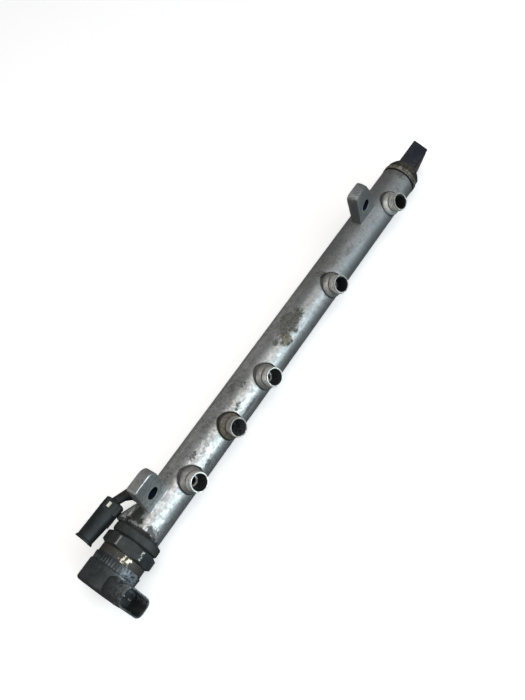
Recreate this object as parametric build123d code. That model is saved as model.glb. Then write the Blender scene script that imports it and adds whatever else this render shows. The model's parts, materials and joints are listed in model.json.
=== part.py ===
from build123d import *
import math
import os

# Common-rail fuel rail. Millimetres.
# Frame: X runs along the rail, from the pressure control valve (-X) to the
# pressure sensor (+X). The two lug holes lie on the X axis, 264 mm apart, with
# the origin half way between them. The lugs seat on the plane y = 0 and their
# bolts go in from the -Y side. The rail's own axis is parallel to X, below and
# in front of the origin.

os.makedirs("parts", exist_ok=True)

# ---------------------------------------------------------------- dimensions
AXIS_Y, AXIS_Z = -3.75, -25.2        # rail axis
RAIL_R = 13.65                       # forged tube, outside
RAIL_X0, RAIL_X1 = -154.5, 183.6     # valve end, sensor end
MAIN_BORE_R = 5.25

PITCH = 88.0                         # injector pipe connections
PORT_X = [-108.8, -108.8 + PITCH, -108.8 + 2 * PITCH, -108.8 + 3 * PITCH]
INLET_X = -64.25                     # pipe from the high-pressure pump
PORT_THETA = 55.0                    # their direction, from +Z towards -Y
PORT_TIP = 23.55                     # tip plane, from the rail axis
PORT_THREAD_R = 7.0                  # M14 x 1.5
PORT_MOUTH_R = 5.8
PORT_STOP = 13.6                     # shoulder that the pipe stands on, from the rail axis
POCKET_R, POCKET_H = 9.45, 11.5      # milled round seat about each connection

LUG_T = 7.5
LUG_TOP = 42.9                       # outer edge of a lug, from the rail axis
BOLT_R = 4.35
LUG_X = 132.0

VALVE_THREAD_R = 10.0                # M20 x 1.5 in the rail's valve end
SENSOR_THREAD_R = 9.0                # M18 x 1.5 in the rail's sensor end
NUT_AF = 32.0
NUT_FLANGE_R = 16.7
CAP_R = 17.0
VALVE_END = -196.8
CONN_X = -190.05                     # valve connector, centre along X
CONN_THETA = 65.0
CONN_MOUTH = 34.0
LIFT = 0.3                           # travel of ball, pin and armature

SENSOR_AF = 24.0
SENSOR_END = 222.7
SENSOR_T = 1.85                      # its connector stands this far off the rail axis
SENSOR_THETA = 27.0                  # the way the connector's broad face looks

RET_THETA = -65.0                    # return elbow, direction from the axis
RET_R = 25.5                         # its socket's axis, from the rail axis
RET_X = -133.3                       # return drilling


# ------------------------------------------------------------------- helpers
def on_axis(shape):
    return Pos(0, AXIS_Y, AXIS_Z) * shape


def toward(theta, shape, x=0.0):
    """Local +Z becomes the direction theta about the rail axis, at x."""
    return Pos(x, AXIS_Y, AXIS_Z) * Rot(theta, 0, 0) * shape


def turned(points):
    """Solid of revolution about the rail axis from (x, radius) points."""
    wire = Polyline(*[(x, 0, r) for x, r in points], close=True)
    return on_axis(revolve(make_face(wire), Axis.X, 360))


def turned_z(points):
    """Solid of revolution about local Z from (radius, z) points."""
    wire = Polyline(*[(r, 0, z) for r, z in points], close=True)
    return revolve(make_face(wire), Axis.Z, 360)


def cyl_x(x0, x1, r):
    """Cylinder on the rail axis between two x stations."""
    return on_axis(Pos((x0 + x1) / 2, 0, 0) * Rot(0, 90, 0) * Cylinder(r, abs(x1 - x0)))


def circle_edges(shape, x, r, tol=0.04):
    out = []
    for e in shape.edges():
        if e.geom_type == GeomType.CIRCLE:
            if abs(e.radius - r) < tol and abs(e.arc_center.X - x) < tol:
                out.append(e)
    return out


def torus_x(x, major, minor):
    return on_axis(Pos(x, 0, 0) * Rot(0, 90, 0) * Torus(major, minor))


# ------------------------------------------------------------------ the rail
def lug_outline(points, fillets, y=0.0):
    """Outline of a lug in the plane y, from (x, z) points. Corners are rounded."""
    face = make_face(Polyline(*[(x, 0, z) for x, z in points], close=True))
    for i, r in fillets:
        x, z = points[i]
        v = [p for p in face.vertices() if abs(p.X - x) < 1e-3 and abs(p.Z - z) < 1e-3]
        face = fillet(v, r)
    return Pos(0, y, 0) * face


def lug_plate(points, fillets, front=None, front_fillets=None):
    """Plate between y = -7.5 and y = 0. A front outline of its own makes drafted sides."""
    if front is None:
        solid = extrude(lug_outline(points, fillets), amount=LUG_T)
        if solid.center().Y > 0:
            solid = Pos(0, -LUG_T, 0) * solid
    else:
        solid = loft([lug_outline(points, fillets), lug_outline(front, front_fillets, -LUG_T)],
                     ruled=True)
    # bevel along the front edge, and on an undrafted plate a slight one along the back
    z_min = min(p[1] for p in points) + 0.5
    for y, size in ((-LUG_T, 0.55), (0.0, 0.3))[:2 if front is None else 1]:
        rim = [e for e in solid.edges() if abs(e.center().Y - y) < 1e-3
               and abs((e @ 0).Y - y) < 1e-3 and e.center().Z > z_min
               and min((e @ 0).Z, (e @ 1).Z) > AXIS_Z + 14.0]
        solid = chamfer(rim, size)
    return solid


def port_body():
    """Outside of one threaded pipe connection, about local Z."""
    return turned_z([
        (0, 6.0), (9.0, 6.0), (9.0, 13.4), (8.5, 14.3), (7.5, 15.3),
        (6.55, 15.9), (6.35, 16.3), (6.35, 16.9), (PORT_THREAD_R, 17.5),
        (PORT_THREAD_R, 22.9), (6.55, PORT_TIP), (0, PORT_TIP)])


def port_bore():
    """Sealing cone, pipe stop and drilling down to the main bore, about local Z."""
    return turned_z([
        (0, 2.0), (1.6, 2.0), (1.6, 9.4), (2.9, 10.7), (2.9, PORT_STOP),
        (4.0, PORT_STOP), (4.0, PORT_STOP + 1.6), (PORT_MOUTH_R - 0.25, 22.85),
        (PORT_MOUTH_R, 23.1), (PORT_MOUTH_R, PORT_TIP + 1), (0, PORT_TIP + 1)])


def rail_body():
    tube = turned([(RAIL_X0, 0), (RAIL_X0, RAIL_R - 0.5), (RAIL_X0 + 0.5, RAIL_R),
                   (RAIL_X1 - 0.5, RAIL_R), (RAIL_X1, RAIL_R - 0.5), (RAIL_X1, 0)])
    top = AXIS_Z + LUG_TOP
    # lug by the valve
    xa = -141.9
    foot = AXIS_Z + 9.0
    plate1 = lug_plate(
        [(xa, foot), (xa, top), (-122.9, top), (-122.1, foot)], [(1, 2.0), (2, 7.0)])
    # lug by the sensor, with drafted sides
    plate2 = lug_plate(
        [(122.2, foot), (118.7, top + 0.4), (134.6, top + 0.4), (141.2, 10.6), (146.4, 3.0),
         (150.0, -6.0), (151.0, foot)],
        [(1, 3.5), (2, 4.5), (3, 8.0), (4, 10.0), (5, 8.0)],
        [(122.6, foot), (120.4, top), (131.0, top), (138.4, 10.4), (141.3, 3.0),
         (143.2, -6.0), (143.8, foot)],
        [(1, 2.2), (2, 4.5), (3, 8.0), (4, 10.0), (5, 8.0)])
    body = tube + plate1 + plate2
    # forged swelling beside the nut, on the elbow's side
    swell = make_face(Polyline((-154.2, 0, 6), (-154.2, 0, 18.3), (-151.0, 0, 18.1),
                               (-141.6, 0, 14.6), (-136.5, 0, 12.0), (-136.5, 0, 6), close=True))
    swell = extrude(swell, amount=5.5, both=True)
    swell = fillet([e for e in swell.edges() if abs((e @ 0).Y) > 5 and abs((e @ 1).Y) > 5
                    and e.center().Z > 13 and abs((e @ 0).Y - (e @ 1).Y) < 0.1
                    and abs((e @ 0).X - (e @ 1).X) > 1], 3.0)
    body += toward(RET_THETA, swell)

    # roots of the lugs, rounded as forged
    for side, root in ((-1, 0.8), (1, 2.4)):
        y = AXIS_Y + side * LUG_T / 2
        z = AXIS_Z + math.sqrt(RAIL_R ** 2 - (LUG_T / 2) ** 2)
        line = [e for e in body.edges() if e.geom_type == GeomType.LINE
                and abs(e.center().Y - y) < 0.02 and abs(e.center().Z - z) < 0.02
                and e.length > 5]
        try:
            body = fillet(line, root)
        except Exception as err:
            print("lug root fillet left out:", side, err)

    # round milled seat and threaded connection, five times
    for x in PORT_X + [INLET_X]:
        body -= toward(PORT_THETA, Pos(0, 0, POCKET_H + 4) * Cylinder(POCKET_R, 8), x)
    for x in PORT_X + [INLET_X]:
        body += toward(PORT_THETA, port_body(), x)
    for x in PORT_X + [INLET_X]:
        body -= toward(PORT_THETA, port_bore(), x)

    # bolt holes with a small chamfer and the mark of the bolt head
    for x in (-LUG_X, LUG_X):
        hole = Pos(x, -LUG_T / 2, 0) * Rot(90, 0, 0) * Cylinder(BOLT_R, LUG_T + 2)
        body -= hole
        cone = Cone(BOLT_R + 0.75 + 0.5, BOLT_R, 1.25)
        body -= Pos(x, -LUG_T + 0.125, 0) * Rot(-90, 0, 0) * cone
        body -= Pos(x, -LUG_T, 0) * Rot(90, 0, 0) * Cylinder(8.3, 0.24)

    # lengthwise bore, valve seat and sensor seat
    body -= turned([(RAIL_X0 - 1, 0), (RAIL_X0 - 1, VALVE_THREAD_R), (-138.0, VALVE_THREAD_R),
                    (-138.0, 7.0), (-121.5, 7.0), (-120.5, MAIN_BORE_R), (165.0, MAIN_BORE_R),
                    (166.2, 7.2), (168.0, 7.2), (168.0, SENSOR_THREAD_R),
                    (RAIL_X1 + 1, SENSOR_THREAD_R), (RAIL_X1 + 1, 0)])
    # return drilling with the bore that takes its nipple
    body -= toward(RET_THETA, Pos(0, 0, 10.0) * Cylinder(2.0, 8), RET_X)
    body -= toward(RET_THETA, Pos(0, 0, 13.1) * Cylinder(3.2, 6.2), RET_X)
    return body


# ------------------------------------------------------ pressure control valve
def hex_band(x0, x1, af, corner_r, chamfer_x, turn):
    """Hexagon on the rail axis whose corners are turned off in a cone."""
    hexagon = extrude(RegularPolygon(af / 2, 6, major_radius=False), x1 - x0)
    hexagon = Pos(x0, 0, 0) * Rot(0, 90, 0) * hexagon
    hexagon = on_axis(Rot(turn, 0, 0) * hexagon)
    flat = af / 2 - 0.15
    cone = turned([(x0, 0), (x0, flat), (x0 + chamfer_x, corner_r), (x1 - chamfer_x, corner_r),
                   (x1, flat), (x1, 0)])
    return hexagon & cone


def valve_clamp_nut():
    flange = cyl_x(-160.8, RAIL_X0, NUT_FLANGE_R)
    flange = fillet(circle_edges(flange, -160.8, NUT_FLANGE_R), 1.6)
    flange = fillet(circle_edges(flange, RAIL_X0, NUT_FLANGE_R), 1.5)
    groove = cyl_x(-161.8, -160.0, 14.7)
    band = hex_band(-170.1, -161.3, NUT_AF, 18.1, 1.3, -4.5)
    barrel = turned([(RAIL_X0 - 1, 0), (RAIL_X0 - 1, VALVE_THREAD_R - 0.9),
                     (RAIL_X0 + 1.4, VALVE_THREAD_R - 0.9), (RAIL_X0 + 2.2, VALVE_THREAD_R),
                     (-142.8, VALVE_THREAD_R), (-142.0, VALVE_THREAD_R - 0.8), (-142.0, 0)])
    return flange + groove + band + barrel - cyl_x(-171, -141, 7.5)


def valve_body():
    body = turned([
        (-122.0, 0), (-122.0, 6.3), (-122.6, 6.9), (-124.2, 6.9), (-124.2, 5.2),
        (-128.2, 5.2), (-128.2, 6.9), (-131.3, 6.9), (-131.3, 5.6), (-135.3, 5.6),
        (-135.3, 6.9), (-138.0, 6.9), (-138.0, 9.3), (-138.3, 9.6), (-142.0, 9.6),
        (-142.0, 7.4), (-175.0, 7.4), (-175.0, 6.15), (-178.0, 6.15), (-178.0, 0)])
    body -= cyl_x(-123.6, -121, 3.6)
    body -= cyl_x(-136.5, -123, 3.0)
    body -= cyl_x(-179, -136, 2.01)
    for a in (45, 135, 225, 315):
        body -= toward(a, Pos(0, 0, 5) * Cylinder(1.1, 6), RET_X)
    return body


def valve_seat():
    seat = cyl_x(-129.2, -123.6, 3.0)
    seat -= turned([(-123.0, 0), (-123.0, 1.0), (-126.9, 1.0), (-127.5, 0.4),
                    (-128.3, 0.4), (-129.3, 1.4), (-129.3, 0)])
    return seat


BALL_R = 1.25
BALL_X = -127.9 - BALL_R * math.sqrt(2) - 0.0142


def valve_ball():
    return on_axis(Pos(BALL_X, 0, 0) * Sphere(BALL_R))


def valve_pin():
    tip = BALL_X - BALL_R - 0.002
    return turned([(tip, 0), (tip, 0.9), (tip - 0.2, 1.0), (-136.8, 1.0), (-137.4, 1.98),
                   (-182.0, 1.98), (-182.4, 1.6), (-182.4, 0)])


def valve_armature():
    body = turned([(-178.4, 1.98), (-178.4, 5.8), (-178.7, 6.0), (-184.6, 6.0),
                   (-184.9, 5.7), (-184.9, 3.2), (-182.4, 3.2), (-182.4, 1.98)])
    for a in (0, 120, 240):
        body -= toward(a, Pos(-181.6, 0, 4.6) * Rot(0, 90, 0) * Cylinder(0.6, 8))
    return body


def valve_spring():
    wire, mean, x0, x1 = 0.8, 2.35, -187.4, -182.75
    pitch = (x1 - x0 - wire) / 3.0
    helix = Helix(pitch=pitch, height=pitch * 3.0, radius=mean)
    start = helix @ 0
    section = Plane(origin=start, z_dir=helix % 0) * Circle(wire / 2)
    coil = sweep(section, path=helix, is_frenet=True)
    return on_axis(Pos(x0 + wire / 2, 0, 0) * Rot(0, 90, 0) * coil)


def valve_core():
    return turned([(-185.22, 3.2), (-185.22, 6.15), (-188.6, 6.15), (-188.6, 0),
                   (-187.4, 0), (-187.4, 3.2)])


def valve_sleeve():
    return turned([(-175.0, 6.15), (-175.0, 7.4), (-188.6, 7.4), (-188.6, 6.15)])


def valve_bobbin():
    return turned([(-172.6, 7.5), (-172.6, 12.8), (-173.6, 12.8), (-173.6, 8.3),
                   (-184.2, 8.3), (-184.2, 12.8), (-185.2, 12.8), (-185.2, 7.5)])


def valve_coil():
    return turned([(-173.6, 8.3), (-173.6, 12.3), (-184.2, 12.3), (-184.2, 8.3)])


def valve_magnet_pot():
    pot = turned([(-170.1, 7.4), (-170.1, 15.2), (-170.7, 15.8), (-175.7, 15.8),
                  (-175.7, 14.7), (-187.0, 14.7), (-187.0, 13.2), (-172.6, 13.2),
                  (-172.6, 7.4)])
    return pot


BLADE_T = 2.8                        # blades sit this far either side of centre


def blades():
    out = []
    for s in (-1, 1):
        leg = Box(5.25, 2.4, 0.8, align=(Align.MAX, Align.CENTER, Align.MIN))
        leg = Pos(-185.2, s * BLADE_T, 9.6) * leg
        up = Box(0.8, 2.4, 25.2 - 9.6, align=(Align.MIN, Align.CENTER, Align.MIN))
        up = Pos(-190.45, s * BLADE_T, 9.6) * up
        blade = toward(CONN_THETA, leg + up)
        out.append(blade)
    return out


def valve_terminals():
    return Compound(children=[b.solids()[0] for b in blades()])


def valve_yoke():
    ring = turned([(-185.2, 7.4), (-185.2, 13.2), (-187.0, 13.2), (-187.0, 7.4)])
    for s in (-1, 1):
        slot = Pos(-186.1, s * BLADE_T, 10.0) * Box(4, 3.4, 1.8)
        ring -= toward(CONN_THETA, slot)
    return ring


def valve_cap():
    shell = turned([(-175.7, 0), (-175.7, 15.6), (-176.0, 15.9), (-181.4, 16.3),
                    (-182.1, CAP_R - 0.1), (-183.0, CAP_R), (VALVE_END, CAP_R), (VALVE_END, 0)])
    shell = fillet(circle_edges(shell, VALVE_END, CAP_R), 2.0)
    # fine ribs on the neck of the cap
    for k in range(48):
        rib = Pos(-178.9, 0, 15.95) * Rot(0, -4.2, 0) * Box(4.8, 0.9, 1.1)
        shell += toward(k * 7.5 + 3.0, rib)
    # connector tower
    x_len, t_len = 13.5, 21.4
    plan = RectangleRounded(x_len, t_len, 4.4)
    tower = extrude(plan, CONN_MOUTH - 2.0)
    tower = toward(CONN_THETA, Pos(CONN_X, 0, 2.0) * tower)
    shell += tower
    cavity = extrude(RectangleRounded(x_len - 1.9, t_len - 1.9, 3.5), 16.0)
    shell -= toward(CONN_THETA, Pos(CONN_X, 0, 19.6) * cavity)
    # room for the magnet pot, sleeve and core
    shell -= turned([(-175, 0), (-175, 14.7), (-187.0, 14.7), (-187.0, 7.4),
                     (-188.6, 7.4), (-188.6, 0)])
    for b in blades():
        shell -= b
    # polarising ribs in the socket
    for t in (-5.9, 5.9):
        rib = Pos(CONN_X - 5.4, t, 19.6) * Box(0.9, 1.2, 9.0, align=(Align.CENTER, Align.CENTER, Align.MIN))
        shell += toward(CONN_THETA, rib)
    return shell


def valve_o_ring():
    return torus_x(-125.2, 6.1, 0.88)


def valve_backup_ring():
    return turned([(-126.4, 5.22), (-126.4, 6.95), (-127.9, 6.95), (-127.9, 5.22)])


def valve_filter():
    disc = turned([(-122.3, 0), (-122.3, 3.55), (-123.5, 3.55), (-123.5, 2.7), (-122.8, 2.7), (-122.8, 0)])
    for ring_r, count in ((1.0, 6), (2.0, 12)):
        for k in range(count):
            hole = Pos(-122.5, 0, ring_r) * Rot(0, 90, 0) * Cylinder(0.25, 2)
            disc -= toward(k * 360.0 / count, hole)
    return disc


# --------------------------------------------------------------- rail sensor
def sensor_body():
    stem = turned([
        (165.9, 0), (165.9, 5.6), (167.2, 7.0), (168.6, 7.0), (168.6, 8.2), (169.4, SENSOR_THREAD_R),
        (182.2, SENSOR_THREAD_R), (182.9, 8.2), (184.2, 8.2), (184.2, 0)])
    collar = cyl_x(184.2, 189.2, 14.0)
    collar = fillet(circle_edges(collar, 184.2, 14.0), 0.9)
    collar = fillet(circle_edges(collar, 189.2, 14.0), 0.9)
    band = hex_band(188.9, 195.3, SENSOR_AF, 13.1, 0.9, -8.0)
    lip = turned([(195.0, 0), (195.0, 11.6), (196.4, 10.9), (196.4, 0)])
    body = stem + collar + band + lip
    body -= turned([(190.2, 0), (190.2, 9.3), (195.8, 9.3), (195.8, 8.45), (197, 8.45), (197, 0)])
    body -= cyl_x(165, 191, 1.25)
    return body


def sensor_cell():
    return turned([(190.2, 1.25), (190.2, 3.6), (191.7, 3.6), (191.7, 0), (191.35, 0), (191.35, 1.25)])


def sensor_board():
    board = turned([(192.5, 0), (192.5, 8.6), (193.3, 8.6), (193.3, 0)])
    for t in (-3.3, 0, 3.3):
        board -= toward(SENSOR_THETA, Pos(193, t + SENSOR_T, 0) * Box(3, 0.9, 0.9))
    return board


def sensor_pins():
    return [toward(SENSOR_THETA, Pos(192.5, t + SENSOR_T, 0) *
                   Box(23.0, 0.64, 0.64, align=(Align.MIN, Align.CENTER, Align.CENTER)))
            for t in (-3.3, 0, 3.3)]


def sensor_terminals():
    return Compound(children=[p.solids()[0] for p in sensor_pins()])


def sensor_seal():
    return torus_x(194.1, 8.35, 0.6)


def sensor_connector():
    base = turned([(193.6, 0), (193.6, 7.3), (194.75, 7.3), (194.75, 9.25), (195.8, 9.25),
                   (195.8, 8.4), (197.2, 8.4), (197.2, 0)])
    box = Pos(196.6, SENSOR_T, 0) * Box(SENSOR_END - 196.6, 13.3, 13.0,
                                     align=(Align.MIN, Align.CENTER, Align.CENTER))
    long_edges = [e for e in box.edges() if abs((e % 0.5).X) > 0.99]
    box = fillet(long_edges, 1.1)
    rim = [e for e in box.edges() if abs(e.center().X - SENSOR_END) < 1e-3]
    box = chamfer(rim, 0.35)
    # lock wedge on one narrow side: tall by the base, low at the mouth
    wedge_face = make_face(Polyline((199.4, -3.9, 0), (199.4, -8.2, 0), (201.2, -8.3, 0),
                                    (221.6, -5.1, 0), (221.6, -3.9, 0), close=True))
    wedge = Pos(0, 0, -3.4) * extrude(wedge_face, 6.8)
    if abs(wedge.center().Z) > 0.5:
        wedge = Pos(0, 0, -wedge.center().Z) * wedge
    shell = toward(SENSOR_THETA, box + wedge)
    shell = base + shell
    cavity = Pos(205.0, SENSOR_T, 0) * Box(SENSOR_END - 204.0, 11.1, 10.8,
                                        align=(Align.MIN, Align.CENTER, Align.CENTER))
    cavity = fillet([e for e in cavity.edges() if abs((e % 0.5).X) > 0.99], 0.8)
    shell -= toward(SENSOR_THETA, cavity)
    for p in sensor_pins():
        shell -= p
    return shell


# ------------------------------------------------------------ return coupling
def return_nipple():
    body = turned_z([(1.5, 10.0), (3.2, 10.0), (3.2, 14.4), (4.4, 14.4), (4.4, 15.2),
                     (2.6, 15.2), (2.6, 16.4), (3.0, 16.4), (2.6, 17.4), (2.6, 18.0),
                     (3.0, 18.0), (2.6, 19.2), (1.5, 19.2)])
    return toward(RET_THETA, body, RET_X)


# the coupler's own axis leans a little away from the rail
SOCKET_P = Vector(-146.4, 0, 24.85)
SOCKET_TILT = 3.9
SOCKET_LEN = 31.0
SOCKET_DIR = Vector(-math.cos(math.radians(SOCKET_TILT)), 0, math.sin(math.radians(SOCKET_TILT)))


def in_socket(shape):
    """Local +Z runs along the coupler from its closed end to its mouth."""
    return Plane(origin=SOCKET_P, x_dir=(0, 1, 0), z_dir=SOCKET_DIR) * shape


def return_elbow():
    # local frame: x along the rail, z outward from the rail axis
    hub = Pos(RET_X, 0, 15.2) * Cylinder(5.9, 7.8, align=(Align.CENTER, Align.CENTER, Align.MIN))
    hub = fillet(hub.edges().filter_by(GeomType.CIRCLE).sort_by(Axis.Z)[-1], 2.2)
    # the inner side of the bend is thick where it runs into the hub
    q0, q1 = Vector(RET_X, 0, 18.6), Vector(-141.0, 0, 23.2)
    bend = Plane(origin=q0, z_dir=q1 - q0) * Cone(5.5, 2.9, (q1 - q0).length,
                                                  align=(Align.CENTER, Align.CENTER, Align.MIN))
    bend -= Pos(RET_X, 0, 15.2) * Box(60, 60, 30, align=(Align.CENTER, Align.CENTER, Align.MAX))
    bend -= Pos(RET_X, 0, 22.0) * Box(30, 60, 30, align=(Align.MIN, Align.CENTER, Align.MIN))
    hub += bend
    p0, p1 = Vector(RET_X, 0, 20.3), Vector(-149.5, 0, 26.9)
    way = p1 - p0
    leg = Plane(origin=p0, z_dir=way) * Cone(3.5, 2.9, way.length,
                                             align=(Align.CENTER, Align.CENTER, Align.MIN))
    barrel = turned_z([(0, 0), (5.9, 0), (6.9, 1.2), (6.95, 4.0), (6.2, 20.0), (5.75, 29.2),
                       (6.35, 29.9), (6.35, SOCKET_LEN), (0, SOCKET_LEN)])
    # the mouth is cut a little on the slant
    barrel -= Pos(0, 0, SOCKET_LEN + 0.1) * Rot(0, 5.0, 0) * Pos(0, 0, 2) * Box(20, 20, 4)
    # raised band with two flats round the retainer's window
    band = Pos(0, 0, 4.6) * Box(12.6, 13.0, 8.0)
    band = fillet([e for e in band.edges() if abs((e % 0.5).Z) > 0.99], 2.6)
    band = fillet([e for e in band.edges() if abs(e.center().Z - 8.6) < 0.01
                   or abs(e.center().Z - 0.6) < 0.01], 0.5)
    # a grip rib along the side that looks away from the rail
    for off in (-1.6, 0.0, 1.6):
        barrel += Pos(0, 0, 13.0) * Rot(0, 0, 90) * Pos(6.3, off, 0) * Box(0.9, 0.7, 6.0)
    body = hub + leg + in_socket(barrel + band)
    bore = (Pos(0, 0, 9.6) * Cylinder(4.2, 24, align=(Align.CENTER, Align.CENTER, Align.MIN))
            + Pos(0, 0, 29.4) * Cylinder(4.9, 4, align=(Align.CENTER, Align.CENTER, Align.MIN))
            + Pos(0, 0, 2.6) * Cylinder(2.4, 8, align=(Align.CENTER, Align.CENTER, Align.MIN))
            # chamber of the retainer and the two seal grooves
            + Pos(0, 0, 2.2) * Cylinder(4.6, 4.6, align=(Align.CENTER, Align.CENTER, Align.MIN))
            + Pos(0, 0, 13.0) * Cylinder(5.2, 2.2) + Pos(0, 0, 17.2) * Cylinder(5.2, 2.2)
            # window, on the side that looks up and forward
            + Pos(-WINDOW_Y, WINDOW_Z, 4.4) * Box(10, 2.0, 3.7, align=(Align.MIN, Align.CENTER, Align.CENTER)))
    body -= in_socket(bore)
    body -= Plane(origin=p0, z_dir=way) * Cylinder(1.6, way.length - 1.0,
                                                   align=(Align.CENTER, Align.CENTER, Align.MIN))
    # socket over the nipple's barbs
    body -= Pos(RET_X, 0, 0) * turned_z([
        (0, 14), (2.6, 14), (2.6, 16.4), (3.0, 16.4), (2.6, 17.4), (2.6, 18.0), (3.0, 18.0),
        (2.6, 19.2), (1.6, 19.6), (1.6, 20.8), (0, 20.8)])
    return toward(RET_THETA, body)


# window centre in the coupler's own cross-section
WINDOW_Y, WINDOW_Z = 10.5, -1.9


def return_retainer():
    ring = turned_z([(2.8, 2.3), (4.6, 2.3), (4.6, 6.7), (2.8, 6.7)])
    ring -= Pos(3.6, 0, 4.5) * Box(4, 1.4, 6)
    tab = Pos(-6.2, WINDOW_Z, 4.4) * Box(3.4, 1.9, 3.6, align=(Align.MIN, Align.CENTER, Align.CENTER))
    tab -= Cylinder(3.4, 20)
    ring += tab
    return toward(RET_THETA, in_socket(ring))


def return_o_rings():
    rings = [toward(RET_THETA, in_socket(Pos(0, 0, z) * Torus(4.3, 0.9))) for z in (13.0, 17.2)]
    return Compound(children=[r.solids()[0] for r in rings])


# -------------------------------------------------------------------- output
NODES = {
    "rail_body": rail_body,
    "valve_clamp_nut": valve_clamp_nut,
    "valve_body": valve_body,
    "valve_seat": valve_seat,
    "valve_ball": valve_ball,
    "valve_pin": valve_pin,
    "valve_armature": valve_armature,
    "valve_spring": valve_spring,
    "valve_core": valve_core,
    "valve_sleeve": valve_sleeve,
    "valve_bobbin": valve_bobbin,
    "valve_coil": valve_coil,
    "valve_magnet_pot": valve_magnet_pot,
    "valve_terminals": valve_terminals,
    "valve_yoke": valve_yoke,
    "valve_cap": valve_cap,
    "valve_o_ring": valve_o_ring,
    "valve_backup_ring": valve_backup_ring,
    "valve_filter": valve_filter,
    "sensor_body": sensor_body,
    "sensor_cell": sensor_cell,
    "sensor_board": sensor_board,
    "sensor_terminals": sensor_terminals,
    "sensor_seal": sensor_seal,
    "sensor_connector": sensor_connector,
    "return_nipple": return_nipple,
    "return_elbow": return_elbow,
    "return_retainer": return_retainer,
    "return_o_rings": return_o_rings,
}

SHAPES = {}
for name, make in NODES.items():
    shape = make()
    SHAPES[name] = shape
    export_step(shape, f"parts/{name}.step")
    box = shape.bounding_box()
    print(f"{name:20s} solids {len(shape.solids())} volume {shape.volume:10.1f} "
          f"x {box.min.X:8.2f} {box.max.X:8.2f} y {box.min.Y:7.2f} {box.max.Y:7.2f} "
          f"z {box.min.Z:7.2f} {box.max.Z:7.2f}")
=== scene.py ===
# Looks of the fuel rail: refined meshes, threads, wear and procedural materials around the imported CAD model.
import json
import math

import bmesh
import bpy
import numpy as np
from mathutils import Matrix, Vector, noise


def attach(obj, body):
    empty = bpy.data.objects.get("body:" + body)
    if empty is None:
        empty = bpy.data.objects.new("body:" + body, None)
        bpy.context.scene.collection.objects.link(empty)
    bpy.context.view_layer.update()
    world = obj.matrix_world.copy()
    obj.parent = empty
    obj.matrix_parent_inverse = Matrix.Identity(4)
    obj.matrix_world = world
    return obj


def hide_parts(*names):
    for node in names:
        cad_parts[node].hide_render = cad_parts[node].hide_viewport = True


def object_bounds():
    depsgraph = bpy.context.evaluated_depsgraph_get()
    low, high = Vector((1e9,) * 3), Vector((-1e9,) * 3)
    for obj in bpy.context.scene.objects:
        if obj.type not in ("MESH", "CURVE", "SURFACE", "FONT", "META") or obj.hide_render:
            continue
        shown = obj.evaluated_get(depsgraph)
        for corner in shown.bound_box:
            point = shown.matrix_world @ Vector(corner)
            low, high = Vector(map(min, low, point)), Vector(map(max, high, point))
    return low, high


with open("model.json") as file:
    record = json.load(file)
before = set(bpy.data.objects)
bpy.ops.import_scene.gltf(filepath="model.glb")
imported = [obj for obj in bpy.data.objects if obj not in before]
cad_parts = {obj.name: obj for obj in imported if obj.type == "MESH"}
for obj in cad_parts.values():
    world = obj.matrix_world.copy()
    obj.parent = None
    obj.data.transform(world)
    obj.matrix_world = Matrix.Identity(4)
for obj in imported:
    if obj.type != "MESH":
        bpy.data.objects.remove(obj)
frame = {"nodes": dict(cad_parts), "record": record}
CAD_LO, CAD_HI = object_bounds()
NODES = frame["nodes"]
SCENE = bpy.context.scene

MM = 0.001
AXIS_Y, AXIS_Z = -3.75, -25.2  # the rail's axis, mm
RAIL_R = 13.65
PORTS = [-108.8, -64.25, -20.8, 67.2, 155.2]  # pipe connections along the rail
PORT_TH = 55.0
PLUG_TH = 65.0


def radial(theta):
    """Unit vector that points away from the rail's axis at that angle: 0 is up, 90 is to the front."""
    a = math.radians(theta)
    return Vector((0.0, -math.sin(a), math.cos(a)))


def around(theta):
    a = math.radians(theta)
    return Vector((0.0, -math.cos(a), -math.sin(a)))


AXIS_POINT = Vector((0.0, AXIS_Y, AXIS_Z))


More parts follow.
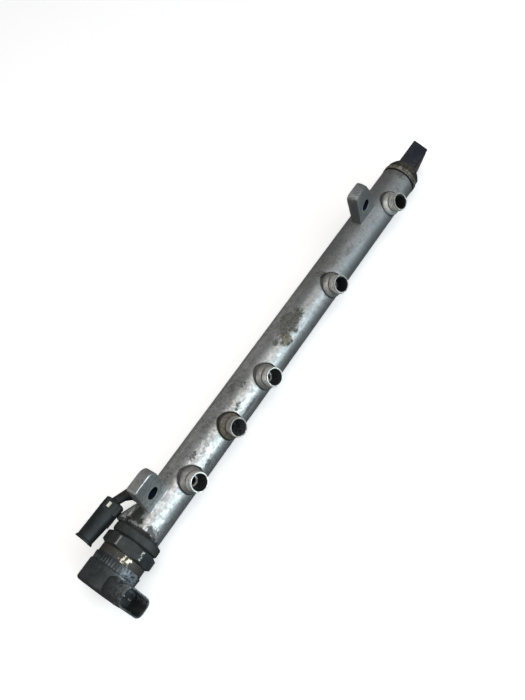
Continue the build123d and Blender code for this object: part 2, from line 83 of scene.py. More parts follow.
# ---------------------------------------------------------------- node graphs
class Look:
    """A material and short names for the nodes that it is made of."""

    def __init__(self, name):
        self.mat = bpy.data.materials.new(name)
        self.mat.use_nodes = True
        self.tree = self.mat.node_tree
        self.tree.nodes.clear()
        self.out = self.tree.nodes.new("ShaderNodeOutputMaterial")
        self.bsdf = self.tree.nodes.new("ShaderNodeBsdfPrincipled")
        self.tree.links.new(self.bsdf.outputs[0], self.out.inputs[0])
        coord = self.tree.nodes.new("ShaderNodeTexCoord")
        self.mm = self.vmath("SCALE", coord.outputs["Object"], scale=1000.0)
        sep = self.tree.nodes.new("ShaderNodeSeparateXYZ")
        self.tree.links.new(self.mm, sep.inputs[0])
        self.x, self.y, self.z = sep.outputs
        self._polar = None

    def _set(self, socket, value):
        if isinstance(value, bpy.types.NodeSocket):
            self.tree.links.new(value, socket)
        elif isinstance(value, (tuple, list)) and len(value) == 3 and socket.type == "RGBA":
            socket.default_value = (*value, 1.0)
        else:
            socket.default_value = value

    def math(self, op, a, b=None, c=None, clamp=False):
        n = self.tree.nodes.new("ShaderNodeMath")
        n.operation = op
        n.use_clamp = clamp
        for i, v in enumerate((a, b, c)):
            if v is not None:
                self._set(n.inputs[i], v)
        return n.outputs[0]

    def vmath(self, op, a, b=None, scale=None):
        n = self.tree.nodes.new("ShaderNodeVectorMath")
        n.operation = op
        self._set(n.inputs[0], a)
        if b is not None:
            self._set(n.inputs[1], b)
        if scale is not None:
            n.inputs["Scale"].default_value = scale
        return n.outputs["Value"] if op in ("LENGTH", "DOT_PRODUCT", "DISTANCE") else n.outputs[0]

    def vec(self, x, y, z):
        n = self.tree.nodes.new("ShaderNodeCombineXYZ")
        for i, v in enumerate((x, y, z)):
            self._set(n.inputs[i], v)
        return n.outputs[0]

    def polar(self):
        """Distance from the rail's axis in mm, and the angle about it in degrees: 0 is up, 90 is to the front."""
        if self._polar is None:
            dy = self.math("SUBTRACT", AXIS_Y, self.y)
            dz = self.math("SUBTRACT", self.z, AXIS_Z)
            r = self.math("SQRT", self.math("ADD", self.math("MULTIPLY", dy, dy), self.math("MULTIPLY", dz, dz)))
            th = self.math("MULTIPLY", self.math("ARCTAN2", dy, dz), 57.29578)
            self._polar = (r, th)
        return self._polar

    def noise(self, scale, detail=4.0, rough=0.55, vec=None, distort=0.0, stretch=None):
        n = self.tree.nodes.new("ShaderNodeTexNoise")
        v = self.mm if vec is None else vec
        if stretch:
            v = self.vmath("MULTIPLY", v, tuple(stretch))
        self.tree.links.new(v, n.inputs["Vector"])
        n.inputs["Scale"].default_value = scale
        n.inputs["Detail"].default_value = detail
        n.inputs["Roughness"].default_value = rough
        n.inputs["Distortion"].default_value = distort
        return n.outputs[0]

    def voronoi(self, scale, vec=None, feature="F1", randomness=1.0, stretch=None):
        n = self.tree.nodes.new("ShaderNodeTexVoronoi")
        n.feature = feature
        v = self.mm if vec is None else vec
        if stretch:
            v = self.vmath("MULTIPLY", v, tuple(stretch))
        self.tree.links.new(v, n.inputs["Vector"])
        n.inputs["Scale"].default_value = scale
        n.inputs["Randomness"].default_value = randomness
        return n.outputs["Distance"]

    def step(self, value, a, b, lo=0.0, hi=1.0):
        """Smooth change from lo at a to hi at b."""
        n = self.tree.nodes.new("ShaderNodeMapRange")
        n.interpolation_type = "SMOOTHSTEP"
        n.clamp = True
        self._set(n.inputs[0], value)
        for i, v in enumerate((a, b, lo, hi)):
            n.inputs[i + 1].default_value = v
        return n.outputs[0]

    def ramp(self, fac, stops):
        n = self.tree.nodes.new("ShaderNodeValToRGB")
        r = n.color_ramp
        while len(r.elements) < len(stops):
            r.elements.new(0.5)
        for e, (p, c) in zip(r.elements, stops):
            e.position = p
            e.color = (*c, 1.0) if isinstance(c, (tuple, list)) else (c, c, c, 1.0)
        self._set(n.inputs[0], fac)
        return n.outputs[0]

    def mix(self, fac, a, b, mode="MIX"):
        n = self.tree.nodes.new("ShaderNodeMix")
        n.data_type = "RGBA"
        n.blend_type = mode
        self._set(n.inputs[0], fac)
        self._set(n.inputs[6], a)
        self._set(n.inputs[7], b)
        return n.outputs[2]

    def fmix(self, fac, a, b):
        n = self.tree.nodes.new("ShaderNodeMix")
        n.data_type = "FLOAT"
        self._set(n.inputs[0], fac)
        self._set(n.inputs[2], a)
        self._set(n.inputs[3], b)
        return n.outputs[0]

    def bump(self, height, depth_mm, strength=1.0, below=None):
        n = self.tree.nodes.new("ShaderNodeBump")
        n.inputs["Strength"].default_value = strength
        n.inputs["Distance"].default_value = depth_mm * MM
        self._set(n.inputs["Height"], height)
        if below is not None:
            self.tree.links.new(below, n.inputs["Normal"])
        return n.outputs[0]

    def spot(self, x0, th0, rx, rth, soft=0.35, ragged=0.5, scale=0.35, radius=RAIL_R, detail=5.0):
        """1 inside a ragged oval on the rail at (x0 mm, th0 degrees), rx mm long each way and rth degrees round each way."""
        _, th = self.polar()
        dx = self.math("DIVIDE", self.math("SUBTRACT", self.x, x0), rx)
        dt = self.math("DIVIDE", self.math("SUBTRACT", th, th0), rth)
        d = self.math("SQRT", self.math("ADD", self.math("MULTIPLY", dx, dx), self.math("MULTIPLY", dt, dt)))
        n = self.noise(scale, detail=detail, rough=0.6)
        d = self.math("ADD", d, self.math("MULTIPLY", self.math("SUBTRACT", n, 0.5), 2.0 * ragged))
        return self.step(d, 1.0 + soft * 0.5, 1.0 - soft * 0.5)

    def neck(self):
        """Distance from the axis of the nearest pipe connection, and the height along it from the rail's axis, mm."""
        up, side = radial(PORT_TH), around(PORT_TH)
        ry = self.math("SUBTRACT", self.y, AXIS_Y)
        rz = self.math("SUBTRACT", self.z, AXIS_Z)
        h = self.math("ADD", self.math("MULTIPLY", ry, up.y), self.math("MULTIPLY", rz, up.z))
        w = self.math("ADD", self.math("MULTIPLY", ry, side.y), self.math("MULTIPLY", rz, side.z))
        dx = None
        for px in PORTS:
            d = self.math("ABSOLUTE", self.math("SUBTRACT", self.x, px))
            dx = d if dx is None else self.math("MINIMUM", dx, d)
        q = self.math("SQRT", self.math("ADD", self.math("MULTIPLY", dx, dx), self.math("MULTIPLY", w, w)))
        return q, h

    def facing(self, direction):
        """How much the surface faces that direction, from 0 to 1."""
        g = self.tree.nodes.new("ShaderNodeNewGeometry")
        return self.math("MAXIMUM", self.vmath("DOT_PRODUCT", g.outputs["Normal"], tuple(direction)), 0.0)

    def edges(self, low, high):
        """Convex edges, from how pointed the mesh is there."""
        g = self.tree.nodes.new("ShaderNodeNewGeometry")
        return self.step(g.outputs["Pointiness"], low, high)

    def finish(self, color, rough, metallic=0.0, normal=None, **sockets):
        self._set(self.bsdf.inputs["Base Color"], color)
        self._set(self.bsdf.inputs["Roughness"], rough)
        self._set(self.bsdf.inputs["Metallic"], metallic)
        if normal is not None:
            self.tree.links.new(normal, self.bsdf.inputs["Normal"])
        for name, v in sockets.items():
            self._set(self.bsdf.inputs[name.replace("_", " ")], v)
        return self.mat


def total(look, masks):
    m = masks[0]
    for other in masks[1:]:
        m = look.math("MAXIMUM", m, other)
    return m


# ---------------------------------------------------------------- materials
def forged_steel():
    k = Look("forged_steel_used")
    r, th = k.polar()
    q, h = k.neck()
    broad = k.noise(0.045, 3.0, 0.5)
    mid = k.noise(0.20, 6.0, 0.66)
    cell = k.noise(0.42, 4.0, 0.55, distort=0.6)
    fine = k.noise(2.1, 3.0, 0.65)
    color = k.mix(k.step(broad, 0.35, 0.68), (0.43, 0.435, 0.425), (0.56, 0.565, 0.56))
    color = k.mix(k.math("MULTIPLY", k.step(mid, 0.52, 0.68), 0.50), color, (0.22, 0.215, 0.20))
    calm = k.step(k.x, -75.0, -5.0, 1.0, 0.62)
    color = k.mix(k.math("MULTIPLY", k.step(cell, 0.50, 0.68), k.math("MULTIPLY", calm, 0.48)), color, (0.19, 0.19, 0.185))
    color = k.mix(k.math("MULTIPLY", k.step(cell, 0.50, 0.34), k.math("MULTIPLY", calm, 0.40)), color, (0.86, 0.87, 0.88))
    color = k.mix(k.math("MULTIPLY", k.step(fine, 0.54, 0.76), 0.24), color, (0.16, 0.16, 0.155))
    # duller towards the sensor
    dim = k.step(k.x, 30.0, 95.0)
    color = k.mix(k.math("MULTIPLY", dim, 0.50), color, (0.22, 0.232, 0.245))
    # thin scratches along and across
    score = k.math("MULTIPLY", k.step(k.noise(0.55, 3.0, 0.6, stretch=(0.25, 1.6, 1.6)), 0.63, 0.68), k.step(k.noise(0.05, 3.0, 0.6), 0.47, 0.60))
    color = k.mix(k.math("MULTIPLY", score, 0.45), color, (0.10, 0.10, 0.10))
    # small irregular flecks, thick in some places and absent in others
    fleck = k.math("MULTIPLY", k.step(k.noise(0.80, 3.0, 0.7, distort=1.0), 0.62, 0.66), k.step(k.noise(0.055, 3.0, 0.6), 0.50, 0.60))
    color = k.mix(k.math("MULTIPLY", fleck, 0.80), color, (0.045, 0.04, 0.036))
    # the scale patch between the third and fourth pipe connection
    patch = total(k, [
        k.spot(21.5, 13.0, 14.5, 27.0, soft=0.5, ragged=0.95, scale=0.20, detail=8.0),
        k.spot(31.0, 22.0, 5.0, 13.0, soft=0.6, ragged=1.6, scale=0.5, detail=6.0),
    ])
    tail = k.spot(9.5, 39.0, 4.6, 15.0, soft=0.5, ragged=1.4, scale=0.42, detail=6.0)
    patch_tone = k.ramp(k.noise(0.62, 6.0, 0.66), [(0.34, (0.026, 0.023, 0.018)), (0.50, (0.066, 0.060, 0.047)), (0.68, (0.155, 0.145, 0.122))])
    color = k.mix(k.math("MULTIPLY", patch, 0.93), color, patch_tone)
    tail_tone = k.ramp(k.noise(0.62, 6.0, 0.66), [(0.34, (0.050, 0.042, 0.022)), (0.50, (0.135, 0.115, 0.065)), (0.68, (0.24, 0.22, 0.15))])
    color = k.mix(k.math("MULTIPLY", tail, 0.85), color, tail_tone)
    spots = total(k, [
        k.spot(-113.9, -15.2, 1.0, 4.0, soft=0.5, ragged=0.3, scale=0.9),
        k.spot(-113.2, -5.8, 1.1, 4.4, soft=0.5, ragged=0.3, scale=0.9),
        k.spot(-116.1, -8.2, 1.1, 4.4, soft=0.5, ragged=0.3, scale=0.9),
        k.spot(-63.0, 17.0, 0.7, 5.5, soft=0.5, ragged=0.4, scale=0.9),
        k.spot(-65.4, 11.3, 1.3, 2.0, soft=0.5, ragged=0.4, scale=0.9),
        k.spot(-63.5, 26.0, 1.3, 2.2, soft=0.5, ragged=0.4, scale=0.9),
        k.spot(20.3, 45.9, 1.6, 4.0, ragged=1.2, scale=0.9),
        k.spot(8.7, 50.0, 1.8, 4.0, ragged=1.4, scale=0.9),
        k.spot(11.6, 54.0, 1.3, 4.0, ragged=1.4, scale=0.9),
        k.spot(6.0, 32.0, 1.8, 5.0, ragged=1.6, scale=0.9),
        k.spot(3.0, 16.0, 2.2, 8.0, ragged=2.4, scale=0.7),
        k.spot(34.0, 6.0, 2.0, 9.0, ragged=2.0, scale=0.8),
        k.spot(68.0, 5.0, 3.4, 13.0, ragged=2.2, scale=0.5),
        k.spot(-53.0, 38.0, 1.1, 4.0, ragged=0.7, scale=0.9),
        k.spot(-50.0, 34.0, 2.2, 4.5, ragged=2.4, scale=0.8),
        k.spot(-96.0, 17.0, 3.0, 6.0, ragged=2.6, scale=0.7),
        k.spot(-41.0, -10.0, 4.0, 9.0, ragged=3.0, scale=0.5),
        k.spot(-36.0, 10.0, 3.0, 8.0, ragged=3.0, scale=0.6),
        k.spot(-93.0, 67.0, 3.6, 6.5, ragged=2.0, scale=0.55),
        k.spot(-44.0, 68.0, 7.0, 5.5, ragged=1.8, scale=0.45),
        k.spot(-148.7, 39.6, 1.3, 5.0, ragged=1.0, scale=0.9),
        k.spot(-152.5, 38.7, 1.2, 5.0, ragged=1.0, scale=0.9),
        k.spot(-150.8, 58.1, 1.4, 6.0, ragged=1.0, scale=0.9),
        k.spot(-150.5, 47.0, 3.2, 16.0, ragged=2.6, scale=0.7),
        k.spot(181.0, 0.0, 3.0, 40.0, ragged=1.6, scale=0.35),
    ])
    color = k.mix(k.math("MULTIPLY", spots, 0.80), color, (0.045, 0.040, 0.034))
    smudge = total(k, [
        k.spot(76.0, -6.0, 9.0, 16.0, soft=1.6, ragged=1.8, scale=0.22, detail=7.0),
        k.spot(86.0, 12.0, 7.0, 13.0, soft=1.6, ragged=1.8, scale=0.30, detail=7.0),
        k.spot(118.0, -2.0, 9.0, 14.0, soft=1.6, ragged=1.6, scale=0.26, detail=7.0),
        k.spot(98.0, 30.0, 5.0, 8.0, soft=1.6, ragged=1.8, scale=0.30, detail=7.0),
    ])
    color = k.mix(k.math("MULTIPLY", smudge, 0.60), color, (0.085, 0.075, 0.060))
    # grease and painted shadow behind the first lug and by the coupler, and a painted shade line at the rail's end
    # against the clamp nut
    grease_and_shadow = total(k, [
        k.spot(-146.2, -15.0, 5.4, 19.0, soft=0.5, ragged=0.6, scale=0.5),
        k.spot(-148.8, 4.0, 2.4, 9.0, soft=0.6, ragged=1.2, scale=0.6),
        k.spot(-151.0, -36.0, 3.0, 12.0, soft=0.7, ragged=1.8, scale=0.5),
        k.spot(-153.4, 0.0, 1.5, 110.0, soft=0.8, ragged=1.2, scale=0.4),
    ])
    color = k.mix(k.math("MULTIPLY", grease_and_shadow, 0.92), color, (0.012, 0.011, 0.010))
    # brown residue over the pump pipe's connection
    at_inlet = k.step(k.math("ABSOLUTE", k.math("SUBTRACT", k.x, -64.25)), 11.0, 9.6)
    inlet = k.math("MULTIPLY", at_inlet, k.math("MULTIPLY", k.step(q, 10.4, 9.4), k.step(h, 8.0, 11.0)))
    rust_tone = k.ramp(k.noise(0.8, 5.0, 0.65), [(0.34, (0.030, 0.022, 0.012)), (0.50, (0.105, 0.080, 0.045)), (0.68, (0.26, 0.22, 0.15))])
    color = k.mix(k.math("MULTIPLY", inlet, 0.88), color, rust_tone)
    # a warm film on the other connections, stronger towards the sensor
    warm = k.math("MULTIPLY", k.step(q, 9.6, 9.0), k.step(h, 12.6, 13.6))
    film = k.step(k.x, -30.0, 80.0, 0.45, 0.72)
    warm = k.math("MULTIPLY", k.math("MULTIPLY", warm, film), k.math("SUBTRACT", 1.0, inlet))
    color = k.mix(warm, color, k.mix(k.step(k.noise(0.5, 4.0), 0.35, 0.65), (0.40, 0.385, 0.34), (0.62, 0.60, 0.54)))
    color = k.mix(k.math("MULTIPLY", warm, k.step(k.x, 120.0, 140.0, 0.0, 0.75)), color, (0.84, 0.84, 0.80))
    # dirt and painted shade in the groove of the milled seat round each connection
    seat_dirt_and_shade = k.math("MULTIPLY", k.step(q, 8.75, 9.05), k.math("MULTIPLY", k.step(q, 10.3, 9.5), k.step(h, 16.5, 14.5)))
    seat_dirt_and_shade = k.math("MULTIPLY", seat_dirt_and_shade, k.step(h, 6.0, 8.0))
    color = k.mix(k.math("MULTIPLY", seat_dirt_and_shade, 0.86), color, (0.018, 0.017, 0.016))
    # bores darkened by oil and painted shade, painted near-black towards the sensor
    bore_oil_and_shade = k.math("MULTIPLY", k.step(q, 5.98, 5.84), k.step(h, 8.0, 10.0))
    bore_oil_and_shade_tone = k.mix(k.step(k.noise(0.9, 4.0), 0.35, 0.65), (0.018, 0.018, 0.021), (0.055, 0.055, 0.060))
    bore_oil_and_shade_tone = k.mix(k.step(k.x, 40.0, 60.0, 0.0, 0.92), bore_oil_and_shade_tone, (0.006, 0.0065, 0.007))
    bore_oil_and_shade_tone = k.mix(k.math("MULTIPLY", at_inlet, 0.8), bore_oil_and_shade_tone, k.mix(k.step(k.noise(0.7, 5.0, 0.65), 0.42, 0.60), (0.016, 0.018, 0.022), (0.10, 0.11, 0.125)))
    color = k.mix(bore_oil_and_shade, color, bore_oil_and_shade_tone)
    # painted highlight: a lit ring on the pipe stop at the bottom of the cone
    stop_highlight = k.math("MULTIPLY", k.math("MULTIPLY", k.step(q, 2.85, 3.0), k.step(q, 4.15, 3.95)), k.math("MULTIPLY", k.step(h, 13.2, 13.45), k.step(h, 14.6, 13.9)))
    stop_highlight = k.math("MULTIPLY", stop_highlight, k.math("MULTIPLY", k.step(k.x, -70.0, 90.0, 1.0, 0.25), k.math("SUBTRACT", 1.0, at_inlet)))
    color = k.mix(k.math("MULTIPLY", k.math("MULTIPLY", stop_highlight, bore_oil_and_shade), 0.9), color, k.mix(k.step(k.noise(0.9, 3.0), 0.4, 0.6), (0.62, 0.61, 0.57), (1.0, 0.99, 0.95)))
    # dirt and painted shade in the undercut and in the thread's roots
    undercut_dirt_and_shade = k.math("MULTIPLY", k.step(k.math("ABSOLUTE", k.math("SUBTRACT", h, 16.7)), 0.65, 0.35), k.step(q, 7.2, 6.9))
    undercut_dirt_and_shade = k.math("MULTIPLY", undercut_dirt_and_shade, k.step(q, 6.0, 6.2))
    turns = k.math("MULTIPLY", k.math("MULTIPLY", k.step(q, 6.1, 6.3), k.step(q, 7.4, 7.15)), k.math("MULTIPLY", k.step(h, 17.0, 17.3), k.step(h, 23.4, 23.2)))
    color = k.mix(k.math("MULTIPLY", turns, k.math("SUBTRACT", 0.85, k.math("MULTIPLY", at_inlet, 0.75))), color, k.mix(k.noise(0.6, 4.0), (0.60, 0.575, 0.49), (0.86, 0.84, 0.77)))
    dark_turns = k.math("SINE", k.math("MULTIPLY", k.math("SUBTRACT", h, 18.35), 2.0 * math.pi / 2.2))
    dark_turns = k.math("MULTIPLY", k.step(dark_turns, 0.35, 0.85), k.step(k.noise(0.35, 3.0), 0.30, 0.55))
    root_dirt_and_shade = k.math("MAXIMUM", k.math("MULTIPLY", k.step(q, 6.68, 6.54), 0.45), k.math("MULTIPLY", dark_turns, 0.85))
    # painted highlight on the side of each thread that faces the light from the left
    thread_highlight = k.math("MULTIPLY", turns, k.step(k.facing((-0.757, 0.375, 0.535)), 0.62, 0.98))
    thread_highlight = k.math("MULTIPLY", thread_highlight, k.math("SUBTRACT", 1.0, at_inlet))
    color = k.mix(k.math("MULTIPLY", thread_highlight, k.step(k.x, -90.0, 40.0, 0.45, 0.9)), color, (1.0, 0.985, 0.93))
    lines = k.math("MAXIMUM", k.math("MULTIPLY", undercut_dirt_and_shade, 0.72), k.math("MULTIPLY", root_dirt_and_shade, k.math("MULTIPLY", turns, 0.75)))
    # fine turning lines on the collar
    turned = k.math("SINE", k.math("MULTIPLY", k.math("SUBTRACT", h, q), 2.0 * math.pi / 1.1))
    turned = k.math("MULTIPLY", k.math("MULTIPLY", k.step(turned, 0.3, 0.9), k.step(q, 9.35, 9.15)), k.math("MULTIPLY", k.step(q, 6.9, 7.4), k.step(h, 12.6, 13.2)))
    lines = k.math("MAXIMUM", lines, k.math("MULTIPLY", turned, 0.30))
    color = k.mix(lines, color, (0.045, 0.042, 0.036))
    # turned end face of each connection
    tip = k.math("MULTIPLY", k.step(h, 23.25, 23.45), k.math("MULTIPLY", k.step(q, 5.6, 5.8), k.step(q, 7.4, 7.15)))
    color = k.mix(k.math("MULTIPLY", tip, 0.55), color, k.mix(k.step(k.noise(0.5, 4.0), 0.40, 0.60), (0.40, 0.38, 0.34), (0.90, 0.87, 0.80)))
    # painted shade: bolt holes dark blue-grey inside; a lighter ring round them, partly rubbed wear and partly painted
    # highlight on the hole's edge
    bx = k.math("SUBTRACT", k.math("ABSOLUTE", k.x), 132.0)
    bq = k.math("SQRT", k.math("ADD", k.math("MULTIPLY", bx, bx), k.math("MULTIPLY", k.z, k.z)))
    shaded_hole = k.step(bq, 4.62, 4.40)
    color = k.mix(shaded_hole, color, (0.006, 0.010, 0.020))
    lug = k.math("MULTIPLY", k.step(k.z, -12.0, -10.6), k.math("SUBTRACT", 1.0, shaded_hole))
    ring_wear_and_glint = k.math("MULTIPLY", lug, k.math("MULTIPLY", k.step(bq, 4.9, 5.2), k.step(bq, 6.6, 6.0)))
    color = k.mix(k.math("MULTIPLY", ring_wear_and_glint, 0.30), color, (0.72, 0.72, 0.70))
    # the lugs are duller, with saw-like lines
    lines = k.math("SINE", k.math("MULTIPLY", k.math("ADD", k.x, k.math("MULTIPLY", k.y, 0.35)), 2.0 * math.pi / 1.75))
    far = k.step(k.x, -10.0, 10.0)
    sawn = k.math("MULTIPLY", k.math("MULTIPLY", lug, far), k.step(k.y, -7.4, -6.9, 0.35, 1.0))
    color = k.mix(k.math("MULTIPLY", sawn, k.step(lines, 0.0, 0.8, 0.0, 0.34)), color, (0.12, 0.12, 0.115))
    color = k.mix(k.math("MULTIPLY", lug, k.fmix(far, 0.22, 0.42)), color, (0.20, 0.215, 0.215))
    # painted shade on the side of the second lug that faces the valve
    shaded_cheek = k.math("MULTIPLY", k.math("MULTIPLY", lug, far), k.facing((-0.97, -0.22, 0.0)))
    color = k.mix(k.math("MULTIPLY", shaded_cheek, 0.5), color, (0.10, 0.10, 0.088))
    brow = k.math("MULTIPLY", k.math("MULTIPLY", sawn, k.step(k.y, -7.4, -6.9)), k.facing((0.0, 0.0, 1.0)))
    color = k.mix(k.math("MULTIPLY", brow, k.step(lines, 0.2, -0.8, 0.0, 0.22)), color, (0.80, 0.81, 0.80))
    # worn edges and painted glint along the lugs' edges
    edge_wear_and_glint = k.math("MULTIPLY", k.math("MULTIPLY", lug, k.edges(0.52, 0.60)), k.step(k.noise(0.10, 3.0), 0.25, 0.75))
    color = k.mix(k.math("MULTIPLY", edge_wear_and_glint, 0.55), color, (0.80, 0.80, 0.78))
    rough = k.step(cell, 0.36, 0.64, 0.37, 0.48)
    rough = k.fmix(k.math("MULTIPLY", dim, 0.6), rough, 0.56)
    rough = k.fmix(k.math("MULTIPLY", k.step(fine, 0.5, 0.7), 0.5), rough, 0.60)
    rough = k.fmix(k.math("MULTIPLY", lug, 0.6), rough, 0.55)
    neck = k.math("MULTIPLY", k.step(q, 9.4, 9.0), k.step(h, 13.0, 13.5))
    rough = k.fmix(k.math("MULTIPLY", neck, 0.75), rough, 0.42)
    rough = k.fmix(k.math("MULTIPLY", thread_highlight, 0.8), rough, 0.30)
    rough = k.fmix(k.math("MULTIPLY", edge_wear_and_glint, 0.8), rough, 0.32)
    dull = total(k, [k.math("MULTIPLY", smudge, 0.6), patch, tail, spots, grease_and_shadow, inlet, seat_dirt_and_shade, k.math("MULTIPLY", bore_oil_and_shade, k.step(k.x, -70.0, 50.0, 0.5, 1.0)), shaded_hole])
    rough = k.fmix(k.math("MULTIPLY", dull, 0.8), rough, 0.72)
    metal = k.fmix(k.math("MULTIPLY", dull, 0.85), 0.86, 0.15)
    metal = k.math("MULTIPLY", metal, k.math("SUBTRACT", 1.0, shaded_hole))
    pale = k.math("MULTIPLY", k.math("MULTIPLY", k.math("MAXIMUM", turns, k.math("MULTIPLY", warm, k.step(k.x, 120.0, 140.0, 0.35, 0.8))), k.math("SUBTRACT", 1.0, at_inlet)), k.step(k.noise(0.4, 4.0), 0.30, 0.55, 0.45, 0.8))
    metal = k.fmix(pale, metal, 0.25)
    grain = k.math("ADD", k.math("MULTIPLY", k.noise(0.36, 4.0, 0.55), 1.0), k.math("MULTIPLY", k.noise(1.5, 3.0, 0.6), 0.10))
    smooth = k.math("MAXIMUM", neck, lug)
    grain = k.math("MULTIPLY", grain, k.fmix(smooth, k.math("POWER", calm, 1.4), 0.25))
    grain = k.math("ADD", grain, k.math("MULTIPLY", k.math("MULTIPLY", sawn, lines), 0.10))
    normal = k.bump(grain, 0.20, 0.9)
    return k.finish(color, rough, metal, normal, Specular_IOR_Level=k.fmix(k.math("MAXIMUM", shaded_hole, k.math("MAXIMUM", grease_and_shadow, seat_dirt_and_shade)), 0.4, 0.08))


def plain_metal(name, dark, light, rough=(0.3, 0.5), metallic=0.95, grain=1.2, depth=0.02, rings=None, grime=0.0, grime_color=(0.06, 0.05, 0.04)):
    k = Look(name)
    a = k.noise(0.16, 4.0, 0.55)
    b = k.noise(grain, 4.0, 0.6)
    color = k.mix(k.step(a, 0.32, 0.70), dark, light)
    color = k.mix(k.math("MULTIPLY", k.step(b, 0.52, 0.78), 0.4), color, tuple(c * 0.55 for c in dark))
    height = b
    if rings:
        r, _ = k.polar()
        wave = k.math("SINE", k.math("MULTIPLY", k.math("ADD", k.x, r) if rings > 0 else k.x, 2.0 * math.pi * abs(rings)))
        height = k.math("ADD", k.math("MULTIPLY", wave, 0.35), b)
    rg = k.step(a, 0.3, 0.75, rough[0], rough[1])
    m = metallic
    if grime:
        g = k.step(k.noise(0.32, 5.0, 0.62), 0.62 - 0.2 * grime, 0.80 - 0.2 * grime)
        color = k.mix(k.math("MULTIPLY", g, min(1.0, 0.5 + grime)), color, grime_color)
        rg = k.fmix(g, rg, 0.7)
        m = k.fmix(g, metallic, metallic * 0.4)
    return k.finish(color, rg, m, k.bump(height, depth, 0.8))


def nut_steel():
    k = Look("nut_steel_used")
    a = k.noise(0.14, 4.0, 0.55)
    b = k.noise(1.3, 5.0, 0.65)
    r, th = k.polar()
    color = k.mix(k.step(a, 0.30, 0.72), (0.026, 0.029, 0.029), (0.050, 0.054, 0.054))
    color = k.mix(k.math("MULTIPLY", k.step(b, 0.50, 0.66), 0.5), color, (0.026, 0.026, 0.025))
    # the hexagon's corners: wrench wear and painted highlight lines
    worn = k.math("MULTIPLY", k.step(r, 17.75, 18.15), k.step(k.noise(0.40, 5.0, 0.65), 0.44, 0.56))
    color = k.mix(k.math("MULTIPLY", worn, 0.8), color, (0.50, 0.49, 0.45))
    chips = k.math("MULTIPLY", k.step(k.noise(1.0, 3.0, 0.7, distort=0.8), 0.68, 0.72), k.step(k.noise(0.10, 2.0), 0.46, 0.60))
    color = k.mix(chips, color, (0.42, 0.41, 0.37))
    # grime and painted shade: near-black on the nut where it is nearer than about 15 mm to the axis
    grime = k.step(r, 15.2, 14.4)
    color = k.mix(k.math("MULTIPLY", grime, 0.85), color, (0.010, 0.010, 0.010))
    bright = k.math("MAXIMUM", worn, chips)
    rough = k.fmix(bright, k.step(b, 0.35, 0.7, 0.58, 0.72), 0.36)
    metal = k.fmix(bright, 0.08, 0.9)
    return k.finish(color, rough, metal, k.bump(k.math("ADD", b, k.math("MULTIPLY", a, 2.0)), 0.05, 0.9), Specular_IOR_Level=0.30)


def magnet_steel():
    k = Look("magnet_steel_plated")
    r, th = k.polar()
    a = k.noise(0.22, 4.0, 0.6)
    b = k.noise(1.3, 5.0, 0.65)
    color = k.mix(k.step(a, 0.35, 0.66), (0.60, 0.52, 0.35), (0.80, 0.76, 0.64))
    # oily dirt and painted shade nearly all round; the plating shows only on the front side, where the light falls
    clean_lit_front = k.math("MULTIPLY", k.step(th, 10.0, 30.0), k.step(th, 60.0, 42.0))
    d = k.math("ADD", k.noise(0.42, 6.0, 0.68), k.math("MULTIPLY", clean_lit_front, -0.20))
    stain_and_shade = k.step(d, 0.23, 0.35)
    color = k.mix(k.math("MULTIPLY", k.step(b, 0.55, 0.70), 0.5), color, (0.16, 0.135, 0.09))
    color = k.mix(k.math("MULTIPLY", stain_and_shade, 0.97), color, k.mix(k.step(b, 0.4, 0.62), (0.012, 0.012, 0.011), (0.042, 0.040, 0.034)))
    rough = k.fmix(stain_and_shade, k.step(b, 0.3, 0.7, 0.26, 0.42), 0.66)
    return k.finish(color, rough, k.fmix(stain_and_shade, 0.9, 0.05), k.bump(b, 0.05, 0.8))


def cap_plastic():
    k = Look("cap_plastic_used")
    r, th = k.polar()
    a = k.noise(0.12, 4.0, 0.55)
    b = k.noise(1.9, 4.0, 0.6)
    color = k.mix(k.step(a, 0.3, 0.7), (0.015, 0.019, 0.022), (0.029, 0.035, 0.038))
    # pale dust that has dried on
    dust = k.math("MULTIPLY", k.step(k.noise(0.5, 6.0, 0.7), 0.50, 0.66), 0.34)
    color = k.mix(dust, color, (0.080, 0.086, 0.086))
    smear = k.math("MULTIPLY", k.step(k.noise(0.28, 5.0, 0.6), 0.50, 0.62), k.step(r, 15.5, 18.0))
    color = k.mix(k.math("MULTIPLY", smear, 0.50), color, (0.050, 0.045, 0.038))
    # painted reflection: a whitish-blue sheen on the front of the neck, where the plastic is also rubbed smoother
    neck = k.math("MULTIPLY", k.step(k.x, -187.5, -185.0), k.math("MULTIPLY", k.step(th, 30.0, 52.0), k.step(th, 100.0, 84.0)))
    painted_sheen = k.math("MULTIPLY", neck, k.step(k.noise(0.50, 6.0, 0.7), 0.40, 0.58))
    color = k.mix(k.math("MULTIPLY", painted_sheen, 0.62), color, (0.34, 0.39, 0.43))
    worn = k.math("MULTIPLY", k.edges(0.53, 0.60), k.step(k.noise(0.5, 4.0), 0.40, 0.58))
    color = k.mix(k.math("MULTIPLY", worn, 0.60), color, (0.20, 0.22, 0.225))
    rough = k.step(b, 0.3, 0.75, 0.40, 0.54)
    rough = k.fmix(dust, rough, 0.7)
    rough = k.fmix(neck, rough, 0.30)
    return k.finish(color, rough, 0.0, k.bump(k.math("ADD", b, k.math("MULTIPLY", a, 1.5)), 0.03, 0.8), Specular_IOR_Level=0.42)


